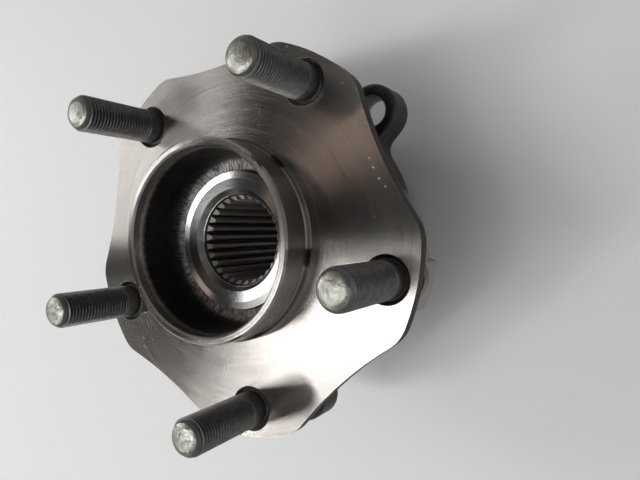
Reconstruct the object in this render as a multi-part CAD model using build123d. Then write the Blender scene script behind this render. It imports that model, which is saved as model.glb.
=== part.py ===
from build123d import *
import os
from math import acos, atan2, cos, degrees, hypot, radians, sin, sqrt, tan

# Wheel hub bearing unit, millimetres.  The origin is the centre of the face
# that the wheel bolts to, +Z points out of the car along the hub axis, and +X
# runs through the middle of the outer ring's plain pad.

# ---- wheel side: studs and flange
stud_count = 5
stud_circle_d = 114.3
stud_clocking = 4.1          # azimuth of the first stud, degrees
thread_d = 12.0
stud_reach = 32.4            # tip of the dome above the wheel face
tip_crown = 0.7              # rise of the dome over the end face
tip_chamfer_w = 1.2
tip_chamfer_h = 1.8
knurl_d = 12.7
relief_depth = 0.2           # undercut between the knurl and the shank
relief_w = 0.5
stud_head_d = 16.8
stud_head_t = 4.6
countersink_w = 1.32         # beyond the knurl, and as deep as it is wide
flange_margin = 9.65         # flange beyond the stud circle
valley_depth = 6.8           # how far the rim dips midway between two studs
valley_arc_r = 140.0
lobe_corner_r = 12.0
rim_t = 4.5                  # thickness of the flange at its edge
arm_t = 9.5                  # thickness of the flange under a stud head
arm_r = 10.8                 # half width of an arm at its back
arm_draft = 20.0             # forging draft on the sides of the arms, degrees

# ---- wheel side: pilots, cavity and axle seat
wheel_pilot_d = 66.0
brake_pilot_step = 1.0       # brake pilot proud of the wheel pilot
brake_pilot_h = 5.1
pilot_cone_h = 2.0
pilot_h = 17.2
pilot_chamfer = 0.6
pilot_wall = 2.7             # wall of the spigot at its mouth
cavity_draft = 1.7           # how much narrower the cavity is at its floor
cavity_depth = 4.5           # cavity floor below the wheel face
cavity_fillet = 2.8
seat_drop = 1.2              # nut seat below the wheel face
seat_w = 6.0

# ---- drive spline
spline_teeth = 29
spline_tip_r = 14.3
spline_depth = 1.3
spline_gap_tip = 2.3         # width of a tooth space at the tips
spline_gap_root = 0.9        # width of a tooth space at the root
spline_lead_w = 3.4          # outboard lead-in beyond the tips
spline_lead_h = 4.2
spline_tail_w = 4.2          # inboard lead-in beyond the tips
spline_tail_h = 5.0

# ---- bearing
ball_d = 12.7
ball_count = 14
ball_circle_r = 32.5
contact_angle = 38.0
groove_ratio = 0.52          # groove radius over ball diameter
race_clearance = 0.07
row_drop = 13.2              # outboard row behind the outer ring's nose
row_spacing = 21.0
inner_shoulder_drop = 2.3    # inner shoulders inside the ball circle
outer_shoulder_rise = 3.4    # outer shoulders outside the ball circle
inner_ring_wall = 7.7        # from the inner shoulder to the spindle
inner_ring_tail = 14.5       # inner ring behind its row
collar_w = 5.9               # formed collar beyond the spindle
collar_h = 4.0
collar_round = 1.6
hub_back_step = 1.0          # thickening of the hub behind the arms
hub_back_r = 40.0
land_fillet = 4.0

# ---- cages
pocket_clearance = 0.15
cage_inner_drop = 1.2        # prongs inside the ball circle
cage_outer_rise = 2.4        # prongs outside the ball circle
cage_lip = 2.6               # how far the prongs pass the ball centres
cage_base_drop = 0.4         # base ring inside the prongs
cage_base_rise = 2.0         # base ring outside the prongs
cage_base_t = 1.4
cage_wall = 0.45             # plastic left behind a ball

# ---- outer ring
nose_gap = 2.3               # outer ring behind the hub
seal_section = 7.5           # seal bore beyond the ball circle
seal_wall = 3.0              # wall of the outer ring round a seal
seal_bore_depth = 4.5
nose_step = 0.5              # nose proud of the knuckle pilot
ring_end_gap = 0.1           # outer ring past the inner ring
knuckle_setback = 22.2       # knuckle face behind the nose
knuckle_flange_t = 11.0
web_w = 9.3                  # web beyond the knuckle pilot
ear_r = 9.3
ear_round = 5.0
flange_edge_round = 1.8
knuckle_span_x = 54.0
knuckle_hole_reach = 10.0    # holes beyond the knuckle pilot, along Y
knuckle_hole_r = 5.2         # tapping size of the M12 holes
hole_chamfer = 0.9
pad_reach = 8.1              # pad beyond the web
pad_half_w = 9.0
pad_neck = 3.2               # straight neck inside the end of the pad
pad_flare = 3.0              # flare inside the neck
pad_flare_half_w = 14.0
pad_root = 9.2               # root inside the flare
pad_root_half_w = 25.2
pad_corner = 1.2
edge_chamfer = 0.5
pilot_lead = 1.2

# ---- seals
case_t = 1.0
case_inset = 0.35
lip_span = 3.4               # rubber between the case and the inner shoulder
rubber_t = 0.8
lip_gap = 0.12
lip_w = 0.7
slinger_t = 0.9
slinger_gap = 0.8            # slinger to the inside of its case
encoder_t = 1.0
encoder_w = 5.4
cassette_gap = 0.5

# ---- worked out from the sizes above: wheel side
thread_r = thread_d / 2
relief_r = thread_r - relief_depth
tip_face_r = thread_r - tip_chamfer_w
tip_face_z = stud_reach - tip_crown
knurl_r = knurl_d / 2
countersink_r = knurl_r + countersink_w
stud_circle_r = stud_circle_d / 2
flange_r = stud_circle_r + flange_margin
valley_r = flange_r - valley_depth
wheel_pilot_r = wheel_pilot_d / 2
brake_pilot_r = wheel_pilot_r + brake_pilot_step
cavity_r = wheel_pilot_r - pilot_wall
cavity_floor_r = cavity_r - cavity_draft
cavity_floor_z = -cavity_depth
seat_z = -seat_drop
spline_root_r = spline_tip_r + spline_depth
seat_bore_r = spline_tip_r + spline_lead_w
seat_r = seat_bore_r + seat_w
spline_lead_z = seat_z - spline_lead_h
spline_tail_r = spline_tip_r + spline_tail_w
hub_back_z = -arm_t - hub_back_step

# ---- worked out from the sizes above: bearing
nose_z = hub_back_z - nose_gap
row_outboard_z = nose_z - row_drop
row_inboard_z = row_outboard_z - row_spacing
rows_mid_z = (row_outboard_z + row_inboard_z) / 2
ring_face_z = row_inboard_z - inner_ring_tail
ring_end_z = ring_face_z - ring_end_gap
hub_end_z = ring_face_z - collar_h
ball_r = ball_d / 2
pocket_r = ball_r + pocket_clearance
groove_r = groove_ratio * ball_d
groove_offset = groove_r - ball_r - race_clearance
groove_dr = groove_offset * cos(radians(contact_angle))
groove_dz = groove_offset * sin(radians(contact_angle))
inner_groove_r = ball_circle_r + groove_dr
outer_groove_r = ball_circle_r - groove_dr
inner_bottom_r = inner_groove_r - groove_r
outer_bottom_r = outer_groove_r + groove_r
inner_shoulder_r = ball_circle_r - inner_shoulder_drop
outer_shoulder_r = ball_circle_r + outer_shoulder_rise
ring_seat_r = inner_shoulder_r - inner_ring_wall
collar_r = ring_seat_r + collar_w
cage_inner_r = ball_circle_r - cage_inner_drop
cage_outer_r = ball_circle_r + cage_outer_rise
cage_base_inner_r = cage_inner_r - cage_base_drop
cage_base_outer_r = cage_outer_r + cage_base_rise

# ---- worked out from the sizes above: outer ring and seals
seal_bore_r = ball_circle_r + seal_section
knuckle_pilot_r = seal_bore_r + seal_wall
knuckle_span_y = 2 * (knuckle_pilot_r + knuckle_hole_reach)
nose_r = knuckle_pilot_r + nose_step
knuckle_face_z = nose_z - knuckle_setback
flange_top_z = knuckle_face_z + knuckle_flange_t
web_r = knuckle_pilot_r + web_w
pad_r = web_r + pad_reach
pad_neck_x = pad_r - pad_neck
pad_flare_x = pad_neck_x - pad_flare
pad_root_x = pad_flare_x - pad_root
case_web_r = inner_shoulder_r + lip_span
slinger_r = seal_bore_r - case_t - slinger_gap
encoder_inner_r = slinger_r - encoder_w
outboard_web_z = nose_z - seal_bore_depth + case_t
inboard_web_z = ring_end_z + seal_bore_depth - case_t


def turned(*edges):
    """Solid of revolution about Z from the edges of its half section."""
    outline = Curve() + list(edges)
    return revolve(Plane.XZ * make_face(outline), Axis.Z)


def turned_points(*points):
    """Solid of revolution about Z from the corners of its half section."""
    return turned(Polyline(*points, close=True))


def stud_azimuths():
    return [stud_clocking + 360 / stud_count * i for i in range(stud_count)]


def knuckle_holes():
    half_x = knuckle_span_x / 2
    half_y = knuckle_span_y / 2
    return [(sx * half_x, sy * half_y) for sx in (1, -1) for sy in (1, -1)]


def shoulder_angle(groove_centre_r, shoulder_r):
    """Angle, seen from the groove's centre, at which it meets its shoulder."""
    return degrees(acos((shoulder_r - groove_centre_r) / groove_r))


def flange_outline():
    """Five turned lobes with shallow hollows between them."""
    outline = Circle(flange_r)
    hollow = Circle(valley_arc_r)
    for azimuth in stud_azimuths():
        middle = azimuth + 180 / stud_count
        outline -= Rot(0, 0, middle) * Pos(valley_r + valley_arc_r, 0) * hollow
    return fillet(outline.vertices(), lobe_corner_r)


def flange_arms():
    """Thick arms that carry the stud holes, drawn in to the hub."""
    depth = arm_t - rim_t
    spread = depth * tan(radians(arm_draft))
    end_r = flange_r - edge_chamfer - spread - arm_r
    stem = Pos(end_r / 2, 0) * Rectangle(end_r, 2 * arm_r)
    outline = stem + Pos(end_r, 0) * Circle(arm_r)
    arm = extrude(Pos(0, 0, -arm_t) * outline, depth, taper=-arm_draft)
    arms = [Rot(0, 0, azimuth) * arm for azimuth in stud_azimuths()]
    return arms[0].fuse(*arms[1:])


def spindle():
    """Shaft behind the flange, with the outboard inner raceway."""
    groove_z = row_outboard_z - groove_dz
    groove = (inner_groove_r, groove_z)
    angle = shoulder_angle(inner_groove_r, inner_shoulder_r)
    shoulder_z = groove_z + groove_r * sin(radians(angle))
    fillet_z = hub_back_z - land_fillet
    fillet_r = inner_shoulder_r + land_fillet
    lower = Polyline(
        (0, 0),
        (0, hub_end_z),
        (collar_r - collar_round, hub_end_z),
        (collar_r, hub_end_z + collar_round),
        (collar_r, ring_face_z),
        (ring_seat_r, ring_face_z),
        (ring_seat_r, rows_mid_z),
        (inner_bottom_r, rows_mid_z),
        (inner_bottom_r, groove_z),
    )
    race = CenterArc(groove, groove_r, angle, 180 - angle)
    land = Line((inner_shoulder_r, shoulder_z), (inner_shoulder_r, fillet_z))
    root = CenterArc((fillet_r, fillet_z), land_fillet, 90, 90)
    upper = Polyline(
        (fillet_r, hub_back_z),
        (hub_back_r, hub_back_z),
        (hub_back_r + arm_t - rim_t, -rim_t),
        (hub_back_r + arm_t - rim_t, 0),
        (0, 0),
    )
    return turned(lower, race, land, root, upper)


def pilots():
    """Wheel and brake pilots in one turned spigot."""
    cone_z = brake_pilot_h + pilot_cone_h
    return turned_points(
        (0, -rim_t),
        (brake_pilot_r, -rim_t),
        (brake_pilot_r, brake_pilot_h),
        (wheel_pilot_r, cone_z),
        (wheel_pilot_r, pilot_h - pilot_chamfer),
        (wheel_pilot_r - pilot_chamfer, pilot_h),
        (0, pilot_h),
    )


def cavity():
    """Forged hollow of the spigot, around the boss that seats the axle nut."""
    wall_z = cavity_floor_z + cavity_fillet
    wall = Polyline(
        (0, seat_z),
        (seat_r, seat_z),
        (seat_r, cavity_floor_z),
        (cavity_floor_r - cavity_fillet, cavity_floor_z),
    )
    corner = CenterArc((cavity_floor_r - cavity_fillet, wall_z), cavity_fillet, -90, 90)
    mouth = Polyline(
        (cavity_floor_r, wall_z),
        (cavity_r, pilot_h - pilot_chamfer),
        (cavity_r + pilot_chamfer, pilot_h),
        (0, pilot_h),
        (0, seat_z),
    )
    return turned(wall, corner, mouth)


def spline_bore():
    """Bore with internal teeth, and the lead-in cone at each end."""
    section = Circle(spline_tip_r)
    overlap = 0.3
    half_tip = spline_gap_tip / 2
    half_root = spline_gap_root / 2
    tip_x = spline_tip_r - overlap
    space = Polygon(
        (tip_x, -half_tip),
        (spline_root_r, -half_root),
        (spline_root_r, half_root),
        (tip_x, half_tip),
        align=None,
    )
    for i in range(spline_teeth):
        section += Rot(0, 0, 360 / spline_teeth * i) * space
    length = seat_z - hub_end_z
    bore = Pos(0, 0, hub_end_z) * extrude(section, length)
    lead = turned_points(
        (0, seat_z),
        (seat_bore_r, seat_z),
        (spline_tip_r, spline_lead_z),
        (0, spline_lead_z),
    )
    tail = turned_points(
        (0, hub_end_z),
        (spline_tail_r, hub_end_z),
        (spline_tip_r, hub_end_z + spline_tail_h),
        (0, hub_end_z + spline_tail_h),
    )
    return bore + lead + tail


def stud_hole():
    return turned_points(
        (0, 0),
        (countersink_r, 0),
        (knurl_r, -countersink_w),
        (knurl_r, -arm_t),
        (0, -arm_t),
    )


def hub_spindle():
    plate = extrude(flange_outline(), -rim_t)
    body = spindle() + pilots() + plate + flange_arms()
    body -= cavity()
    body -= spline_bore()
    for azimuth in stud_azimuths():
        body -= Rot(0, 0, azimuth) * Pos(stud_circle_r, 0, 0) * stud_hole()
    return body


def wheel_stud():
    """Pressed stud: head behind the flange, knurl in it, thread in front."""
    head_r = stud_head_d / 2
    head_z = -arm_t - stud_head_t
    knurl_top = -countersink_w
    relief_z = knurl_top + knurl_r - relief_r
    relief_top = relief_z + relief_w
    dome_r = (tip_face_r**2 + tip_crown**2) / (2 * tip_crown)
    half = tip_face_r / 2
    shank = Polyline(
        (0, stud_reach),
        (0, head_z),
        (head_r - edge_chamfer, head_z),
        (head_r, head_z + edge_chamfer),
        (head_r, -arm_t),
        (knurl_r, -arm_t),
        (knurl_r, knurl_top),
        (relief_r, relief_z),
        (relief_r, relief_top),
        (thread_r, relief_top + relief_depth),
        (thread_r, tip_face_z - tip_chamfer_h),
        (tip_face_r, tip_face_z),
    )
    crown = (half, stud_reach - dome_r + sqrt(dome_r**2 - half**2))
    dome = ThreePointArc((tip_face_r, tip_face_z), crown, (0, stud_reach))
    return turned(shank, dome)


def inner_ring():
    """Loose ring with the inboard inner raceway, held by the formed collar."""
    groove_z = row_inboard_z + groove_dz
    groove = (inner_groove_r, groove_z)
    angle = shoulder_angle(inner_groove_r, inner_shoulder_r)
    shoulder_z = groove_z - groove_r * sin(radians(angle))
    lower = Polyline(
        (inner_shoulder_r, shoulder_z),
        (inner_shoulder_r, ring_face_z + edge_chamfer),
        (inner_shoulder_r - edge_chamfer, ring_face_z),
        (ring_seat_r, ring_face_z),
        (ring_seat_r, rows_mid_z),
        (inner_bottom_r, rows_mid_z),
        (inner_bottom_r, groove_z),
    )
    race = CenterArc(groove, groove_r, 180, 180 - angle)
    return turned(lower, race)


def knuckle_outline():
    """Web with four ears, their roots filleted, and one plain pad."""
    outline = Circle(web_r)
    for x, y in knuckle_holes():
        reach = hypot(x, y)
        azimuth = degrees(atan2(y, x))
        neck = Pos(reach / 2, 0) * Rectangle(reach, 2 * ear_r)
        outline += Rot(0, 0, azimuth) * (neck + Pos(reach, 0) * Circle(ear_r))
    roots = [v for v in outline.vertices() if hypot(v.X, v.Y) < web_r + 0.1]
    outline = fillet(roots, ear_round)
    flank = Polygon(
        (0, -pad_root_half_w),
        (pad_root_x, -pad_root_half_w),
        (pad_flare_x, -pad_flare_half_w),
        (pad_neck_x, -pad_half_w),
        (pad_neck_x, pad_half_w),
        (pad_flare_x, pad_flare_half_w),
        (pad_root_x, pad_root_half_w),
        (0, pad_root_half_w),
        align=None,
    )
    tongue = Pos(pad_r / 2, 0) * Rectangle(pad_r, 2 * pad_half_w)
    tongue &= Circle(pad_r)
    corners = [v for v in tongue.vertices() if v.X > 1]
    return outline + flank + fillet(corners, pad_corner)


def knuckle_flange():
    flat = Pos(0, 0, knuckle_face_z) * knuckle_outline()
    plate = extrude(flat, knuckle_flange_t)
    rim = plate.faces().sort_by(Axis.Z)[-1].outer_wire()
    return fillet(rim.edges(), flange_edge_round)


def ear_hole():
    top = flange_top_z
    return turned_points(
        (0, top),
        (knuckle_hole_r + hole_chamfer, top),
        (knuckle_hole_r, top - hole_chamfer),
        (knuckle_hole_r, knuckle_face_z + hole_chamfer),
        (knuckle_hole_r + hole_chamfer, knuckle_face_z),
        (0, knuckle_face_z),
    )


def outer_ring():
    barrel = turned_points(
        (0, nose_z),
        (nose_r - edge_chamfer, nose_z),
        (nose_r, nose_z - edge_chamfer),
        (nose_r, knuckle_face_z),
        (knuckle_pilot_r, knuckle_face_z),
        (knuckle_pilot_r, ring_end_z + pilot_lead),
        (knuckle_pilot_r - edge_chamfer, ring_end_z),
        (0, ring_end_z),
    )
    body = barrel + knuckle_flange()
    for x, y in knuckle_holes():
        body -= Pos(x, y, 0) * ear_hole()
    return body - outer_ring_bore()


def outer_ring_bore():
    """Two outer raceways, back to back, and a seal seat at each end."""
    angle = shoulder_angle(outer_groove_r, outer_shoulder_r)
    rise = groove_r * sin(radians(angle))
    outboard_z = row_outboard_z + groove_dz
    inboard_z = row_inboard_z - groove_dz
    outboard_race = CenterArc((outer_groove_r, outboard_z), groove_r, -angle, angle)
    inboard_race = CenterArc((outer_groove_r, inboard_z), groove_r, 0, angle)
    top = Polyline(
        (outer_bottom_r, outboard_z),
        (outer_bottom_r, nose_z - seal_bore_depth),
        (seal_bore_r, nose_z - seal_bore_depth),
        (seal_bore_r, nose_z),
        (0, nose_z),
        (0, ring_end_z),
        (seal_bore_r, ring_end_z),
        (seal_bore_r, ring_end_z + seal_bore_depth),
        (outer_bottom_r, ring_end_z + seal_bore_depth),
        (outer_bottom_r, inboard_z),
    )
    land = Line((outer_shoulder_r, inboard_z + rise), (outer_shoulder_r, outboard_z - rise))
    return turned(outboard_race, top, inboard_race, land)


def ball_azimuths():
    return [360 / ball_count * i for i in range(ball_count)]


def ball(row_z, azimuth):
    x = ball_circle_r * cos(radians(azimuth))
    y = ball_circle_r * sin(radians(azimuth))
    return Pos(x, y, row_z) * Sphere(ball_r)


def cage(row_z, side):
    """Snap-in plastic cage; side is +1 where its base faces outboard."""
    base = pocket_r + cage_wall
    foot = base - cage_base_rise
    step = base - cage_base_drop
    back = base + cage_base_t
    ring = turned_points(
        (cage_inner_r, row_z - side * cage_lip),
        (cage_outer_r, row_z - side * cage_lip),
        (cage_outer_r, row_z + side * foot),
        (cage_base_outer_r, row_z + side * base),
        (cage_base_outer_r, row_z + side * back),
        (cage_base_inner_r, row_z + side * back),
        (cage_base_inner_r, row_z + side * base),
        (cage_inner_r, row_z + side * step),
    )
    for azimuth in ball_azimuths():
        x = ball_circle_r * cos(radians(azimuth))
        y = ball_circle_r * sin(radians(azimuth))
        ring -= Pos(x, y, row_z) * Sphere(pocket_r)
    return ring


def seal_case_outboard():
    web_low = outboard_web_z - case_t
    return turned_points(
        (case_web_r, web_low),
        (seal_bore_r, web_low),
        (seal_bore_r, nose_z - case_inset),
        (seal_bore_r - case_t, nose_z - case_inset),
        (seal_bore_r - case_t, outboard_web_z),
        (case_web_r, outboard_web_z),
    )


def seal_lip_outboard():
    """Rubber on the outboard case: one lip on the land, one on the flange."""
    web = outboard_web_z
    land = inner_shoulder_r + lip_gap
    face = hub_back_z - lip_gap
    top = web + rubber_t
    fin_in = case_web_r + rubber_t
    fin_tip = fin_in + (face - top) / 2
    return turned_points(
        (case_web_r, web),
        (case_web_r, web - case_t),
        (land + lip_w, web - case_t),
        (land, web - case_t + lip_w),
        (land, web),
        (land + lip_w, top),
        (fin_in, top),
        (fin_tip, face),
        (fin_tip + lip_w, face),
        (fin_in + 2 * lip_w, top),
        (seal_bore_r - case_t, top),
        (seal_bore_r - case_t, web),
    )


def seal_case_inboard():
    web_high = inboard_web_z + case_t
    return turned_points(
        (case_web_r, web_high),
        (seal_bore_r, web_high),
        (seal_bore_r, ring_end_z + case_inset),
        (seal_bore_r - case_t, ring_end_z + case_inset),
        (seal_bore_r - case_t, inboard_web_z),
        (case_web_r, inboard_web_z),
    )


def seal_lip_inboard():
    """Rubber on the inboard case, which runs on the slinger."""
    web = inboard_web_z
    land = inner_shoulder_r + slinger_t + lip_gap
    low = web - rubber_t
    fin_low = slinger_top_z() + lip_gap
    fin = case_web_r + rubber_t
    return turned_points(
        (case_web_r, web),
        (case_web_r, web + case_t),
        (land + lip_w, web + case_t),
        (land, web + case_t - lip_w),
        (land, web),
        (land + lip_w, low),
        (fin, low),
        (fin + lip_w, fin_low),
        (fin + 2 * lip_w, fin_low),
        (fin + 2 * lip_w, low),
        (seal_bore_r - case_t, low),
        (seal_bore_r - case_t, web),
    )


def slinger_top_z():
    return ring_face_z + cassette_gap / 2 + encoder_t + slinger_t


def seal_slinger():
    """Stamped ring pressed on the inner ring, facing the inboard case."""
    top = slinger_top_z()
    low = top - slinger_t
    sleeve_top = inboard_web_z + case_t - cassette_gap
    return turned_points(
        (inner_shoulder_r, sleeve_top),
        (inner_shoulder_r, low),
        (slinger_r, low),
        (slinger_r, top),
        (inner_shoulder_r + slinger_t, top),
        (inner_shoulder_r + slinger_t, sleeve_top),
    )


def encoder_ring():
    """Magnetic ring that the wheel speed sensor reads, bonded to the slinger."""
    top = slinger_top_z() - slinger_t
    low = top - encoder_t
    return turned_points(
        (encoder_inner_r, low),
        (slinger_r, low),
        (slinger_r, top),
        (encoder_inner_r, top),
    )


def write(solid, node):
    export_step(solid, f"parts/{node}.step")


os.makedirs("parts", exist_ok=True)
write(hub_spindle(), "hub_spindle")
stud = wheel_stud()
for i, azimuth in enumerate(stud_azimuths()):
    write(Rot(0, 0, azimuth) * Pos(stud_circle_r, 0, 0) * stud, f"wheel_stud_{i + 1}")
write(inner_ring(), "inner_ring")
write(outer_ring(), "outer_ring")
write(cage(row_outboard_z, 1), "cage_outboard")
write(cage(row_inboard_z, -1), "cage_inboard")
for i, azimuth in enumerate(ball_azimuths()):
    write(ball(row_outboard_z, azimuth), f"ball_outboard_{i + 1:02d}")
    write(ball(row_inboard_z, azimuth), f"ball_inboard_{i + 1:02d}")
write(seal_case_outboard(), "seal_case_outboard")
write(seal_lip_outboard(), "seal_lip_outboard")
write(seal_case_inboard(), "seal_case_inboard")
write(seal_lip_inboard(), "seal_lip_inboard")
write(seal_slinger(), "seal_slinger")
write(encoder_ring(), "encoder_ring")
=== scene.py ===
import math

import bpy
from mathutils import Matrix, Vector


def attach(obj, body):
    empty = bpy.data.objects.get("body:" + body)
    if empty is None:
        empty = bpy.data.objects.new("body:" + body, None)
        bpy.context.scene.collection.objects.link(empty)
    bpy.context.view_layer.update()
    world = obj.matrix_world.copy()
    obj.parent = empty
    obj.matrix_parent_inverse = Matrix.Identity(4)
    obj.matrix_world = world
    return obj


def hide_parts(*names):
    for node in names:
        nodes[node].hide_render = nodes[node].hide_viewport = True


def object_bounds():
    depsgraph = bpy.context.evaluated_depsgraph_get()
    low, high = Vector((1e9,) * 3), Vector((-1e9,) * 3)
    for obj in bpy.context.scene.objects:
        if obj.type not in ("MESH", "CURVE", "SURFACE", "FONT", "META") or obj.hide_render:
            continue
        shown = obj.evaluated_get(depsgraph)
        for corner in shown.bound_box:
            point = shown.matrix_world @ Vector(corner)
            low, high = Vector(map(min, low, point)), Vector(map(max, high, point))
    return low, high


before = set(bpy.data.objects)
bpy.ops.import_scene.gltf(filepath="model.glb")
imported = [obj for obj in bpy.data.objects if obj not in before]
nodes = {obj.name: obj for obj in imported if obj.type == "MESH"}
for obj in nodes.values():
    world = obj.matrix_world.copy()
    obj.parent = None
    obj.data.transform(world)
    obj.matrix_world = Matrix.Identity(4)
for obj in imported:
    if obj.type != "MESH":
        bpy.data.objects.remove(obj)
cad_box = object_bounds()
mm = 0.001
bpy.ops.object.select_all(action="DESELECT")


# ---------------------------------------------------------------- hub spindle
# One steel forging: wheel flange, spigot and splined spindle.  The faces that
# locate the wheel and the bearing are turned bright, the rest keeps the dark
# skin of the forge.
def start_material(name):
    """A node material with its Principled shader already in place."""
    material = bpy.data.materials.new(name)
    material.use_nodes = True
    tree = material.node_tree
    return material, tree, tree.nodes["Principled BSDF"]


def start_group(name, inputs, outputs):
    """A shader group: inputs are (name, default), outputs are names of numbers."""
    group = bpy.data.node_groups.new(name, "ShaderNodeTree")
    for label, value in inputs:
        kind = "NodeSocketVector" if isinstance(value, tuple) else "NodeSocketFloat"
        socket = group.interface.new_socket(label, in_out="INPUT", socket_type=kind)
        socket.default_value = value
    for label in outputs:
        group.interface.new_socket(label, in_out="OUTPUT", socket_type="NodeSocketFloat")
    entry = group.nodes.new("NodeGroupInput").outputs
    leave = group.nodes.new("NodeGroupOutput").inputs
    return group, entry, leave


def place(tree, kind, values=(), **settings):
    """Add one node, set its properties, and set or link its inputs."""
    node = tree.nodes.new(kind)
    for key, value in settings.items():
        setattr(node, key, value)
    for key, value in dict(values).items():
        if isinstance(value, bpy.types.NodeSocket):
            tree.links.new(value, node.inputs[key])
        else:
            node.inputs[key].default_value = value
    return node


def sums(tree, operation, *values):
    """One Math node, and what it puts out."""
    return place(tree, "ShaderNodeMath", enumerate(values), operation=operation).outputs[0]


def product(tree, first, *others):
    """All the values multiplied."""
    for value in others:
        first = sums(tree, "MULTIPLY", first, value)
    return first


def highest(tree, first, *others):
    """The highest of the values: where masks are given, their union."""
    for value in others:
        first = sums(tree, "MAXIMUM", first, value)
    return first


def opposite(tree, mask):
    """1 where a mask is 0, and 0 where it is 1."""
    return sums(tree, "SUBTRACT", 1.0, mask)


def ramp(tree, value, low, high):
    """0 below low, 1 above high, and a straight slope between."""
    values = {"Value": value, "From Min": low, "From Max": high}
    return place(tree, "ShaderNodeMapRange", values).outputs["Result"]


def step_up(tree, value, low, high):
    """0 below low, 1 above high, and a smooth slope between; low may be the larger."""
    values = {"Value": value, "From Min": low, "From Max": high}
    return place(tree, "ShaderNodeMapRange", values, interpolation_type="SMOOTHSTEP").outputs["Result"]


def above(tree, value, limit, soft):
    """1 above a limit and 0 below it, with a soft edge."""
    return step_up(tree, value, limit - soft, limit + soft)


def below(tree, value, limit, soft):
    """1 below a limit and 0 above it, with a soft edge."""
    return step_up(tree, value, limit + soft, limit - soft)


def between(tree, value, low, high, soft):
    """1 from low to high, with soft edges."""
    return product(tree, above(tree, value, low, soft), below(tree, value, high, soft))


def blend_colours(tree, factor, first, second):
    """The first colour where the factor is 0, the second where it is 1."""
    values = {0: factor, 6: first, 7: second}
    return place(tree, "ShaderNodeMix", values, data_type="RGBA").outputs[2]


def blend_values(tree, factor, first, second):
    """The first number where the factor is 0, the second where it is 1."""
    return place(tree, "ShaderNodeMix", {0: factor, 2: first, 3: second}).outputs[0]


def bump(tree, height, strength, distance, normal=None, invert=False):
    """The normal that a relief gives, laid over an earlier normal where there is one."""
    values = {"Strength": strength, "Distance": distance, "Height": height}
    if normal is not None:
        values["Normal"] = normal
    return place(tree, "ShaderNodeBump", values, invert=invert).outputs[0]


def grey(level, warmth=0.0):
    """A grey, with a share more red and less blue."""
    return (level * (1 + warmth), level, level * (1 - warmth), 1.0)


def object_place(tree):
    """Place in the object's own coordinates, in metres."""
    return place(tree, "ShaderNodeTexCoord").outputs["Object"]


def axis_place_group():
    """Radius from the axis and height in millimetres, and azimuth in turns."""
    outputs = ["Radius", "Height", "Turn"]
    group, entry, leave = start_group("axis_place", [("Place", (0, 0, 0))], outputs)
    parts = place(group, "ShaderNodeSeparateXYZ", {0: entry["Place"]}).outputs
    x, y, z = (sums(group, "MULTIPLY", part, 1000.0) for part in parts)
    squares = sums(group, "MULTIPLY_ADD", x, x, sums(group, "MULTIPLY", y, y))
    group.links.new(sums(group, "SQRT", squares), leave["Radius"])
    group.links.new(z, leave["Height"])
    turn = sums(group, "DIVIDE", sums(group, "ARCTAN2", y, x), 2 * math.pi)
    group.links.new(turn, leave["Turn"])
    return group


axis_place = axis_place_group()


def axis_at(tree, spot):
    """Radius, height and azimuth of a place."""
    return place(tree, "ShaderNodeGroup", {"Place": spot}, node_tree=axis_place).outputs


def lathe_marks_group():
    """Rings left by the tool: uneven tone and fine grooves, by radius and height."""
    inputs = [("Place", (0, 0, 0)), ("Rings per mm", 2.0), ("Wander", 0.35)]
    group, entry, leave = start_group("lathe_marks", inputs, ["Tone", "Grooves"])
    where = axis_at(group, entry["Place"])
    across = sums(group, "ADD", where["Radius"], where["Height"])
    across = product(group, across, entry["Rings per mm"])
    circle = sums(group, "MULTIPLY", where["Turn"], 2 * math.pi)
    east = product(group, sums(group, "COSINE", circle), entry["Wander"])
    north = product(group, sums(group, "SINE", circle), entry["Wander"])
    around = place(group, "ShaderNodeCombineXYZ", {0: east, 1: north, 2: across}).outputs[0]
    tone = {"Vector": around, "Scale": 0.4, "Detail": 4.0, "Roughness": 0.65}
    tone = place(group, "ShaderNodeTexNoise", tone).outputs[0]
    grooves = {"Vector": around, "Scale": 2.2, "Detail": 2.0}
    grooves = place(group, "ShaderNodeTexNoise", grooves).outputs[0]
    group.links.new(tone, leave["Tone"])
    group.links.new(grooves, leave["Grooves"])
    return group


lathe_marks = lathe_marks_group()


def marks_at(tree, spot, rings, wander):
    """The lathe marks at a place: rings per mm, and how far they wander."""
    values = {"Place": spot, "Rings per mm": rings, "Wander": wander}
    return place(tree, "ShaderNodeGroup", values, node_tree=lathe_marks).outputs


def forge_skin_group():
    """Lumps, pits and scale of a forged or coated surface."""
    inputs = [("Place", (0, 0, 0)), ("Coarse", 160.0), ("Fine", 900.0)]
    group, entry, leave = start_group("forge_skin", inputs, ["Tone", "Lumps"])
    coarse = {"Vector": entry["Place"], "Scale": entry["Coarse"], "Detail": 5.0}
    coarse = place(group, "ShaderNodeTexNoise", coarse).outputs[0]
    fine = {"Vector": entry["Place"], "Scale": entry["Fine"], "Detail": 4.0}
    fine = place(group, "ShaderNodeTexNoise", fine).outputs[0]
    group.links.new(coarse, leave["Tone"])
    group.links.new(sums(group, "MULTIPLY_ADD", fine, 0.35, coarse), leave["Lumps"])
    return group


forge_skin = forge_skin_group()


def skin_at(tree, spot, coarse, fine):
    """The forged skin at a place: its coarse and fine lumps per metre."""
    values = {"Place": spot, "Coarse": coarse, "Fine": fine}
    return place(tree, "ShaderNodeGroup", values, node_tree=forge_skin).outputs


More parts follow.
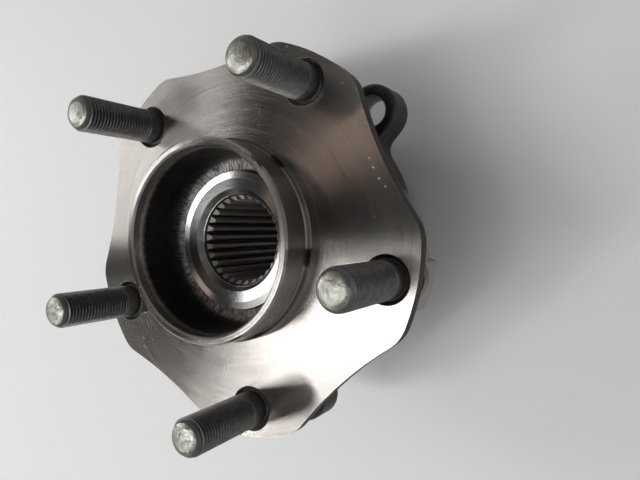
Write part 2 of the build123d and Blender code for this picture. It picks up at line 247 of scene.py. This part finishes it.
def handling_wear_group():
    """Small nicks and short scratches from handling, gathered in patches."""
    inputs = [("Place", (0, 0, 0)), ("Nicks per m", 520.0), ("Scratches per m", 260.0)]
    group, entry, leave = start_group("handling_wear", inputs, ["Nicks", "Scratches"])
    spot = entry["Place"]
    patches = {"Vector": spot, "Scale": 42.0, "Detail": 2.0}
    patches = place(group, "ShaderNodeTexNoise", patches).outputs[0]
    patches = step_up(group, patches, 0.50, 0.58)
    cells = place(group, "ShaderNodeTexVoronoi", {"Vector": spot, "Scale": entry["Nicks per m"]})
    nicks = product(group, step_up(group, cells.outputs["Distance"], 0.17, 0.07), patches)
    slant = {"Vector": spot, "Rotation": (0.0, 0.0, 0.9), "Scale": (1.0, 0.07, 1.0)}
    slant = place(group, "ShaderNodeMapping", slant).outputs[0]
    lines = {"Vector": slant, "Scale": entry["Scratches per m"]}
    lines = place(group, "ShaderNodeTexVoronoi", lines).outputs["Distance"]
    scratches = product(group, step_up(group, lines, 0.07, 0.02), patches)
    group.links.new(nicks, leave["Nicks"])
    group.links.new(scratches, leave["Scratches"])
    return group


handling_wear = handling_wear_group()


def fan_out(tree, shader, spot, spread):
    """Make the gloss fan out across the rings that a lathe cuts round an axis."""
    axis = (0.0, 0.0, 1.0)
    ring = place(tree, "ShaderNodeVectorMath", {0: axis, 1: spot}, operation="CROSS_PRODUCT").outputs[0]
    ring = place(tree, "ShaderNodeVectorMath", {0: ring}, operation="NORMALIZE").outputs[0]
    turned = {"vector_type": "VECTOR", "convert_from": "OBJECT", "convert_to": "WORLD"}
    ring = place(tree, "ShaderNodeVectorTransform", {0: ring}, **turned).outputs[0]
    tree.links.new(ring, shader.inputs["Tangent"])
    shader.inputs["Anisotropic"].default_value = spread
    shader.inputs["Anisotropic Rotation"].default_value = 0.25


# where the finishes change, in millimetres: radii from the axis, heights above the wheel face
face_height = -0.11
cavity_mouth_r = 29.95
mouth_height = 16.45
seat_r = 23.675
seat_height = -3.45
shaft_r = 31.25
shaft_height = -12.5
# the spigot's wall gets its painted shade beyond this radius
painted_shade_r = 32.2
wall_heights = (0.7, 16.0)
neck_heights = (5.3, 6.6)
broach_r = 16.05
broach_height = -1.275
teeth_r = 15.475
foot_radii = (24.3, 28.2)
foot_height = -7.0
cavity_r = 30.75
cavity_height = -7.5
seat_dish_radii = (21.3, 23.7)
rim_dish_radii = (30.3, 32.1)


def hub_steel():
    material, tree, shader = start_material("hub_steel")
    spot = object_place(tree)
    where = axis_at(tree, spot)
    radius, height = where["Radius"], where["Height"]
    marks = marks_at(tree, spot, 2.4, 0.5)
    skin = skin_at(tree, spot, 210.0, 1100.0)
    wear = place(tree, "ShaderNodeGroup", {"Place": spot}, node_tree=handling_wear).outputs

    # turned bright: the wheel face and spigot outside the cavity, the nut seat, the shaft
    front = above(tree, radius, cavity_mouth_r, 0.15)
    front = product(tree, front, above(tree, height, face_height, 0.05))
    mouth = above(tree, height, mouth_height, 0.15)
    seat = product(tree, below(tree, radius, seat_r, 0.075), above(tree, radius, broach_r, 0.15))
    seat = product(tree, seat, above(tree, height, seat_height, 0.15))
    shaft = product(tree, below(tree, radius, shaft_r, 0.25), below(tree, height, shaft_height, 0.5))
    turned = highest(tree, front, seat, shaft, mouth)
    # painted shade: the spigot's wall is painted dark brown in place of the dark reflection it shows,
    # darkest on the cone between its two pilots
    neck = product(tree, between(tree, height, *neck_heights, 0.25), 0.8)
    wall = product(tree, between(tree, height, *wall_heights, 0.3), 0.3)
    painted_wall_shade = product(tree, highest(tree, neck, wall), above(tree, radius, painted_shade_r, 0.2))
    bright = blend_colours(tree, marks["Tone"], grey(0.24, 0.08), grey(0.40, 0.05))
    bright = blend_colours(tree, product(tree, wear["Nicks"], 0.25), bright, grey(0.10, 0.02))
    bright = blend_colours(tree, painted_wall_shade, bright, grey(0.05, 0.12))
    bright = blend_colours(tree, seat, bright, grey(0.45, 0.02))

    # painted shade: the cavity is painted darker than the forged skin outside it, but its foot is scraped
    # by the tool and shines a little
    foot = product(tree, below(tree, radius, foot_radii[1], 0.8), above(tree, radius, foot_radii[0], 0.6))
    foot = product(tree, foot, above(tree, height, foot_height, 0.5))
    hairs = marks_at(tree, spot, 0.8, 130.0)
    glint = product(tree, foot, step_up(tree, hairs["Tone"], 0.30, 0.66))
    cavity_shade_and_glints = blend_colours(tree, skin["Tone"], grey(0.010, 0.08), grey(0.035, 0.08))
    cavity_shade_and_glints = blend_colours(tree, glint, cavity_shade_and_glints, grey(0.55, 0.04))
    cavity = product(tree, above(tree, height, cavity_height, 1.5), below(tree, radius, cavity_r, 0.25))
    dark = blend_colours(tree, skin["Tone"], grey(0.035, 0.05), grey(0.09, 0.06))
    dark = blend_colours(tree, cavity, dark, cavity_shade_and_glints)
    colour = blend_colours(tree, turned, dark, bright)
    # broached: the inner part of the lead-in cone and the teeth; painted shade: the tooth roots and the
    # band of the cone round them are painted near black, the tooth flanks pale
    broached = product(tree, below(tree, radius, broach_r, 0.15), below(tree, height, broach_height, 0.075))
    teeth = below(tree, radius, teeth_r, 0.075)
    teeth_and_root_shade = blend_colours(tree, teeth, grey(0.05, 0.06), grey(0.45, 0.06))
    colour = blend_colours(tree, broached, colour, teeth_and_root_shade)
    tree.links.new(colour, shader.inputs["Base Color"])

    smooth = sums(tree, "MULTIPLY_ADD", marks["Tone"], 0.06, 0.19)
    smooth = sums(tree, "MULTIPLY_ADD", wear["Scratches"], 0.16, smooth)
    smooth = blend_values(tree, seat, smooth, 0.18)
    rough = sums(tree, "MULTIPLY_ADD", skin["Tone"], 0.20, 0.30)
    rough = blend_values(tree, turned, rough, smooth)
    rough = blend_values(tree, broached, rough, 0.34)
    tree.links.new(rough, shader.inputs["Roughness"])

    grooves = product(tree, marks["Grooves"], opposite(tree, product(tree, seat, 0.8)))
    normal = bump(tree, grooves, 0.55, 0.00005)
    # the seat and the spigot's mouth are dished a little
    rim = product(tree, ramp(tree, radius, *rim_dish_radii), mouth, 0.3)
    dish = product(tree, ramp(tree, radius, *seat_dish_radii), product(tree, seat, 0.55))
    normal = bump(tree, sums(tree, "ADD", dish, rim), 1.0, 0.001, normal)
    nicks = product(tree, wear["Nicks"], opposite(tree, seat))
    normal = bump(tree, nicks, 0.4, 0.0001, normal, invert=True)
    forged = opposite(tree, highest(tree, turned, broached))
    normal = bump(tree, product(tree, skin["Lumps"], forged), 0.8, 0.0009, normal)
    normal = bump(tree, product(tree, hairs["Tone"], foot), 0.5, 0.0003, normal)
    tree.links.new(normal, shader.inputs["Normal"])
    shader.inputs["Metallic"].default_value = 1.0
    fan_out(tree, shader, spot, 1.0)
    return material


def dress(node, material):
    """Give a CAD node its finish."""
    mesh = nodes[node].data
    mesh.materials.clear()
    mesh.materials.append(material)


dress("hub_spindle", hub_steel())


# --------------------------------------------------------------- wheel studs
# Cold-headed studs with a rolled M12 x 1.25 thread, pressed into the flange
# from behind and coated with grey-black phosphate.  The end is faced bright.
stud_count = 5
stud_circle_r = 57.15
stud_clocking = 4.1
stud_sides = 96
thread_pitch = 1.25
thread_crest_r = 5.98
thread_root_r = 5.26
thread_steps = 48            # round one turn
thread_start = 5.043         # heights above the wheel face
thread_stop = 33.037
end_face_r = 4.8
end_face_height = 31.7
tip_height = 32.4
dome_shares = (0.9, 0.78, 0.64, 0.48, 0.3, 0.1)
dome_fall_radii = (3.2, 4.9)
weld = 1e-6                  # metres
smooth_angle = 28            # degrees between two faces
# (radius, height) up each part
end_steps = [(6.2, 4.0), (6.2, 29.75), (end_face_r, end_face_height)]
head_steps = [(7.9, -14.1), (8.4, -13.6), (8.4, -9.5)]
knurl_steps = [(6.35, -9.5), (6.35, -1.32), (5.8, -0.77), (5.8, -0.27), (6.0, -0.07)]
shank_steps = [(6.0, 4.9), (5.21, 5.69)]


def turned_solid(name, steps, sides):
    """A bar turned to each (radius, height) in order, from the bottom up."""
    radius, height = steps[0]
    bpy.ops.object.select_all(action="DESELECT")
    bpy.ops.mesh.primitive_circle_add(vertices=sides, radius=radius * mm, fill_type="NGON")
    bar = bpy.context.object
    bar.name = name
    bpy.ops.object.mode_set(mode="EDIT")
    bpy.ops.transform.translate(value=(0, 0, height * mm))
    for next_radius, next_height in steps[1:]:
        rise = (next_height - height) * mm
        bpy.ops.mesh.extrude_region_move(TRANSFORM_OT_translate={"value": (0, 0, rise)})
        wider = next_radius / radius
        centre = (0, 0, next_height * mm)
        bpy.ops.transform.resize(value=(wider, wider, 1), center_override=centre)
        radius, height = next_radius, next_height
    bpy.ops.mesh.select_all(action="SELECT")
    bpy.ops.mesh.normals_make_consistent(inside=False)
    bpy.ops.object.mode_set(mode="OBJECT")
    return bar


def threaded_rod():
    """One pitch of the thread, screwed up the axis and cut square at both ends."""
    crest = thread_pitch / 8
    root = thread_pitch / 4
    flank = (thread_pitch - crest - root) / 2
    depth = thread_crest_r - thread_root_r
    bpy.ops.object.select_all(action="DESELECT")
    bpy.ops.mesh.primitive_plane_add(size=mm)
    rod = bpy.context.object
    rod.name = "thread"
    bpy.ops.object.mode_set(mode="EDIT")
    bpy.ops.mesh.merge(type="CENTER")
    first = thread_start - 1.2 * thread_pitch
    bpy.ops.transform.translate(value=(thread_root_r * mm, 0, first * mm))
    for across, up in ((0, root), (depth, flank), (0, crest), (-depth, flank)):
        bpy.ops.mesh.extrude_region_move(TRANSFORM_OT_translate={"value": (across * mm, 0, up * mm)})
    bpy.ops.object.mode_set(mode="OBJECT")
    screw = rod.modifiers.new("screw", "SCREW")
    screw.screw_offset = thread_pitch * mm
    screw.iterations = math.ceil((thread_stop - thread_start) / thread_pitch) + 3
    screw.steps = thread_steps
    screw.render_steps = thread_steps
    bpy.ops.object.modifier_apply(modifier="screw")
    bpy.ops.object.mode_set(mode="EDIT")
    bpy.ops.mesh.select_all(action="SELECT")
    bpy.ops.mesh.remove_doubles(threshold=weld)
    for height, keep_above in ((thread_start, True), (thread_stop, False)):
        bpy.ops.mesh.select_all(action="SELECT")
        teeth_and_root_shade = {"plane_co": (0, 0, height * mm), "plane_no": (0, 0, 1), "threshold": 1e-7}
        bpy.ops.mesh.bisect(clear_inner=keep_above, clear_outer=not keep_above, **teeth_and_root_shade)
        bpy.ops.mesh.remove_doubles(threshold=weld)
        bpy.ops.mesh.edge_face_add()
    bpy.ops.mesh.select_all(action="SELECT")
    bpy.ops.mesh.normals_make_consistent(inside=False)
    bpy.ops.object.mode_set(mode="OBJECT")
    return rod


def boolean(piece, operation, other):
    """Join or trim a piece by another, which is used up."""
    bpy.context.view_layer.objects.active = piece
    change = piece.modifiers.new("change", "BOOLEAN")
    change.operation = operation
    change.solver = "EXACT"
    change.object = other
    bpy.ops.object.modifier_apply(modifier="change")
    bpy.data.objects.remove(other)


def stud_blank():
    """One stud about the Z axis, its thread chamfered and its end domed."""
    rise = tip_height - end_face_height
    dome_r = (end_face_r**2 + rise**2) / (2 * rise)
    crown = []
    for share in dome_shares:
        radius = share * end_face_r
        crown.append((radius, tip_height - dome_r + math.sqrt(dome_r**2 - radius**2)))
    thread = threaded_rod()
    boolean(thread, "INTERSECT", turned_solid("end", end_steps + crown, stud_sides))
    stud = turned_solid("stud", head_steps + knurl_steps + shank_steps, stud_sides)
    boolean(stud, "UNION", thread)
    return stud


def stud_place(tree):
    """Place on a stud, measured from its own axis."""
    return place(tree, "ShaderNodeAttribute", attribute_name="stud_place").outputs["Vector"]


def phosphate():
    material, tree, shader = start_material("stud_phosphate")
    skin = skin_at(tree, object_place(tree), 500.0, 2600.0)
    # the coating is worn a little paler on the crests of the thread
    radius = axis_at(tree, stud_place(tree))["Radius"]
    crest = step_up(tree, radius, thread_root_r + 0.15, thread_crest_r - 0.1)
    worn = product(tree, crest, step_up(tree, skin["Tone"], 0.20, 0.80))
    colour = blend_colours(tree, skin["Tone"], grey(0.10, 0.02), grey(0.15, 0.02))
    colour = blend_colours(tree, worn, colour, grey(0.20, 0.02))
    tree.links.new(colour, shader.inputs["Base Color"])
    rough = sums(tree, "MULTIPLY_ADD", worn, -0.06, 0.42)
    tree.links.new(rough, shader.inputs["Roughness"])
    tree.links.new(bump(tree, skin["Lumps"], 0.25, 0.0001), shader.inputs["Normal"])
    shader.inputs["Metallic"].default_value = 0.85
    return material


def faced_end():
    material, tree, shader = start_material("stud_end")
    spot = stud_place(tree)
    marks = marks_at(tree, spot, 3.0, 0.8)
    skin = skin_at(tree, object_place(tree), 420.0, 1500.0)
    tone = step_up(tree, product(tree, marks["Tone"], skin["Tone"]), 0.12, 0.36)
    colour = blend_colours(tree, tone, (0.20, 0.20, 0.18, 1), (0.36, 0.36, 0.32, 1))
    tree.links.new(colour, shader.inputs["Base Color"])
    rough = sums(tree, "MULTIPLY_ADD", skin["Tone"], 0.2, 0.22)
    tree.links.new(rough, shader.inputs["Roughness"])
    normal = bump(tree, marks["Grooves"], 0.35, 0.00012)
    # the dome steepens towards its edge
    fall = ramp(tree, axis_at(tree, spot)["Radius"], *dome_fall_radii)
    normal = bump(tree, product(tree, fall, fall), 1.0, 0.0003, normal, invert=True)
    normal = bump(tree, skin["Lumps"], 0.5, 0.0006, normal)
    tree.links.new(normal, shader.inputs["Normal"])
    shader.inputs["Metallic"].default_value = 1.0
    return material


stud = stud_blank()
stud.data.materials.append(phosphate())
stud.data.materials.append(faced_end())
for face in stud.data.polygons:
    on_end = face.center.z > (end_face_height - 0.001) * mm
    face.material_index = 1 if on_end else 0
own_place = stud.data.attributes.new("stud_place", "FLOAT_VECTOR", "POINT")
own_place.data.foreach_set("vector", [c for vertex in stud.data.vertices for c in vertex.co])
bpy.context.view_layer.objects.active = stud
stud.select_set(True)
bpy.ops.object.shade_smooth_by_angle(angle=math.radians(smooth_angle))
for i in range(stud_count):
    azimuth = math.radians(stud_clocking + 360 / stud_count * i)
    piece = stud.copy()
    piece.data = stud.data.copy()
    piece.name = f"threaded_stud_{i + 1}"
    bpy.context.collection.objects.link(piece)
    bpy.ops.object.select_all(action="DESELECT")
    piece.select_set(True)
    bpy.context.view_layer.objects.active = piece
    piece.rotation_euler = (0, 0, azimuth)
    out = stud_circle_r * mm
    piece.location = (out * math.cos(azimuth), out * math.sin(azimuth), 0)
    bpy.ops.object.transform_apply(location=True, rotation=True, scale=True)
    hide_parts(f"wheel_stud_{i + 1}")
    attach(piece, "wheel_side")
bpy.data.objects.remove(stud)


# ------------------------------------------------------------------ bearing
# Ground and hardened steel: the loose inner ring and two rows of balls, kept
# apart by moulded cages.
rows = ("outboard", "inboard")
balls_in_row = 14


def follow_tone(tree, shader, tone, low, high, roughness, rise):
    """Metal whose colour and roughness both follow one tone."""
    tree.links.new(blend_colours(tree, tone, low, high), shader.inputs["Base Color"])
    rough = sums(tree, "MULTIPLY_ADD", tone, rise, roughness)
    tree.links.new(rough, shader.inputs["Roughness"])
    shader.inputs["Metallic"].default_value = 1.0


def turned_metal(name, rings, wander, low, high, roughness, rise):
    """Bright metal with the marks of the lathe or the grinder."""
    material, tree, shader = start_material(name)
    marks = marks_at(tree, object_place(tree), rings, wander)
    follow_tone(tree, shader, marks["Tone"], low, high, roughness, rise)
    return material


def polished_ball():
    material, tree, shader = start_material("polished_ball")
    skin = skin_at(tree, object_place(tree), 300.0, 1500.0)
    follow_tone(tree, shader, skin["Tone"], grey(0.56), grey(0.66), 0.05, 0.04)
    return material


def moulded(name, low, high, roughness):
    """Plastic or rubber with a fine grain."""
    material, tree, shader = start_material(name)
    skin = skin_at(tree, object_place(tree), 300.0, 2100.0)
    tree.links.new(blend_colours(tree, skin["Tone"], low, high), shader.inputs["Base Color"])
    tree.links.new(bump(tree, skin["Lumps"], 0.25, 0.0001), shader.inputs["Normal"])
    shader.inputs["Roughness"].default_value = roughness
    return material


ground_steel = turned_metal("ground_steel", 5.0, 0.3, grey(0.40, 0.01), grey(0.52, 0.01), 0.16, 0.1)
dress("inner_ring", ground_steel)
balls = polished_ball()
cages = moulded("cage_plastic", (0.36, 0.27, 0.13, 1), (0.48, 0.38, 0.20, 1), 0.45)
for row in rows:
    dress(f"cage_{row}", cages)
    for i in range(balls_in_row):
        dress(f"ball_{row}_{i + 1:02d}", balls)


# -------------------------------------------------------------------- seals
# Pressed sheet cases with rubber moulded on, a slinger on the inner ring, and
# the magnetic ring bonded to it.
sheet = turned_metal("pressed_sheet", 3.0, 0.4, grey(0.30), grey(0.42), 0.28, 0.15)
for name in ("seal_case_outboard", "seal_case_inboard", "seal_slinger"):
    dress(name, sheet)
lips = moulded("seal_rubber", grey(0.012), grey(0.03), 0.55)
for name in ("seal_lip_outboard", "seal_lip_inboard"):
    dress(name, lips)
dress("encoder_ring", moulded("encoder_rubber", grey(0.03, 0.1), grey(0.055, 0.1), 0.6))


# --------------------------------------------------------------- outer ring
# Second forging: the flange and ears keep the forged skin, the nose, the
# knuckle pilot and the bores are turned and ground, and the ears are tapped.

# where the finishes change, in millimetres: radii from the axis, heights above the wheel face
bore_r = 43.75
pilot_height = -34.75
ear_place = (27.0, 53.0)
ear_bore_r = 5.5
pad_x = 44.0


def ring_steel():
    material, tree, shader = start_material("ring_steel")
    spot = object_place(tree)
    where = axis_at(tree, spot)
    marks = marks_at(tree, spot, 2.5, 0.4)
    skin = skin_at(tree, spot, 210.0, 1300.0)

    # turned: the bores and the knuckle pilot; tapped: the four ear holes
    inside = below(tree, where["Radius"], bore_r, 0.15)
    pilot = below(tree, where["Height"], pilot_height, 0.15)
    parts = place(tree, "ShaderNodeSeparateXYZ", {0: spot}).outputs
    aside = []
    for part, out in zip(parts, ear_place):
        from_axis = sums(tree, "ABSOLUTE", part)
        aside.append(sums(tree, "MULTIPLY_ADD", from_axis, 1000.0, -out))
    squares = product(tree, aside[1], aside[1])
    squares = sums(tree, "MULTIPLY_ADD", aside[0], aside[0], squares)
    tapped = below(tree, sums(tree, "SQRT", squares), ear_bore_r, 0.1)
    turned = highest(tree, inside, pilot, tapped)
    bright = blend_colours(tree, marks["Tone"], grey(0.30, 0.03), grey(0.42, 0.03))
    # forged, with the pad and the web beside it milled
    pad = above(tree, product(tree, parts[0], 1000.0), pad_x, 2.0)
    dark = blend_colours(tree, skin["Tone"], grey(0.025, 0.04), grey(0.085, 0.06))
    dark = blend_colours(tree, pad, dark, grey(0.34, 0.05))
    tree.links.new(blend_colours(tree, turned, dark, bright), shader.inputs["Base Color"])

    smooth = sums(tree, "MULTIPLY_ADD", marks["Tone"], 0.12, 0.24)
    rough = sums(tree, "MULTIPLY_ADD", skin["Tone"], 0.2, 0.36)
    tree.links.new(blend_values(tree, turned, rough, smooth), shader.inputs["Roughness"])

    # the thread in an ear hole climbs one pitch a turn
    turn = sums(tree, "DIVIDE", sums(tree, "ARCTAN2", aside[1], aside[0]), 2 * math.pi)
    climb = sums(tree, "ADD", sums(tree, "DIVIDE", where["Height"], thread_pitch), turn)
    ridge = product(tree, sums(tree, "PINGPONG", climb, 0.5), tapped)
    normal = bump(tree, ridge, 1.0, 0.0007)
    normal = bump(tree, product(tree, skin["Lumps"], opposite(tree, turned)), 0.6, 0.0007, normal)
    tree.links.new(normal, shader.inputs["Normal"])
    shader.inputs["Metallic"].default_value = 1.0
    fan_out(tree, shader, spot, 0.6)
    return material


dress("outer_ring", ring_steel())


# ------------------------------------------------------------ table and light
# A pale table under the part, soft panels for the windows, the door, the lamps
# and the walls of a room, and a camera looking down on the wheel face.
table_size = 4.0
table_fade = (0.5, 2.0)      # metres from the part
table_glow = 0.7
panel_distance = 1.3
room_colour = (1.0, 0.97, 0.95, 1)
room_light = 0.05            # what lights the part
room_seen = 0.72             # what the camera sees on top of that
room_mirrored = 0.40         # what low reflections see on top of it
mirrored_sines = (0.55, 0.30)    # of the elevations between which that fades in


def pale_table():
    """The table; where it is far off, the camera sees it fade into the room."""
    material, tree, shader = start_material("pale_table")
    shader.inputs["Base Color"].default_value = (0.92, 0.92, 0.92, 1.0)
    shader.inputs["Roughness"].default_value = 0.6
    away = {0: object_place(tree)}
    away = place(tree, "ShaderNodeVectorMath", away, operation="LENGTH").outputs["Value"]
    seen = place(tree, "ShaderNodeLightPath").outputs["Is Camera Ray"]
    glow = product(tree, step_up(tree, away, *table_fade), seen, table_glow)
    shader.inputs["Emission Color"].default_value = room_colour
    tree.links.new(glow, shader.inputs["Emission Strength"])
    return material


bpy.ops.object.select_all(action="DESELECT")
bpy.ops.mesh.primitive_plane_add(size=table_size, location=(0, 0, cad_box[0][2]))
table = bpy.context.object
table.name = "table"
bpy.ops.object.transform_apply(location=True, rotation=True, scale=True)
table.data.materials.append(pale_table())


def panel(name, azimuth, elevation, wide, high, level, colour=(1.0, 1.0, 1.0)):
    """A soft rectangular light facing the hub; its place and its size are in degrees."""
    bpy.ops.object.light_add(type="AREA")
    lamp = bpy.context.object
    lamp.name = name
    a, e = math.radians(azimuth), math.radians(elevation)
    away = Vector((math.cos(e) * math.cos(a), math.cos(e) * math.sin(a), math.sin(e)))
    lamp.location = away * panel_distance
    lamp.rotation_euler = away.to_track_quat("Z", "Y").to_euler()
    lamp.data.shape = "RECTANGLE"
    lamp.data.size = 2 * panel_distance * math.tan(math.radians(wide / 2))
    lamp.data.size_y = 2 * panel_distance * math.tan(math.radians(high / 2))
    lamp.data.energy = level * math.pi * lamp.data.size * lamp.data.size_y
    lamp.data.color = colour


# name, azimuth, elevation, width, height, level
panel("window", 218, 59, 9, 17, 12.0)
panel("window_top", 236, 71, 10, 12, 6.0)
panel("window_high", 248, 78, 7, 8, 6.0)
panel("door", 240, 37, 8, 15, 4.6)
panel("door_frame", 241, 30, 21, 15, 2.4)
panel("low_lamp", 214, 18.7, 20, 7.5, 3.0)
panel("shelf", 186, 23, 20, 17, 5.0)
panel("wall_lit", 182, 38, 24, 14, 1.5)
panel("screen", 160, 37.5, 9, 15, 2.2)
panel("lamp", 168, 64, 10, 9, 1.2, (1.0, 0.73, 0.57))
panel("ceiling", 288, 78, 21, 21, 2.4)
panel("wall_right", 290, 48, 42, 34, 0.52)
panel("wall_front", 352, 52, 32, 26, 0.50)
panel("wall_behind", 90, 58, 24, 26, 0.45)
panel("wall_left", 135, 55, 22, 22, 0.25)
panel("wall_low", 15, 14, 60, 18, 0.7)

world = bpy.data.worlds.new("room")
world.use_nodes = True
tree = world.node_tree
background = tree.nodes["Background"]
background.inputs["Color"].default_value = room_colour
rays = place(tree, "ShaderNodeLightPath").outputs
towards = place(tree, "ShaderNodeTexCoord").outputs["Generated"]
climb = place(tree, "ShaderNodeSeparateXYZ", {0: towards}).outputs["Z"]
mirrored = product(tree, rays["Is Glossy Ray"], step_up(tree, climb, *mirrored_sines))
strength = sums(tree, "MULTIPLY_ADD", mirrored, room_mirrored, room_light)
strength = sums(tree, "MULTIPLY_ADD", rays["Is Camera Ray"], room_seen, strength)
tree.links.new(strength, background.inputs["Strength"])
bpy.context.scene.world = world

camera_place = (0.11514, 0.03590, 0.14972)
camera_turn = [math.radians(angle) for angle in (-1.404, 30.032, 15.081)]
bpy.ops.object.camera_add(location=camera_place, rotation=camera_turn)
camera = bpy.context.object
camera.data.lens = 31.33
camera.data.sensor_width = 36.0
camera.data.clip_start = 0.01
bpy.context.scene.camera = camera
bpy.context.scene.view_settings.view_transform = "Standard"
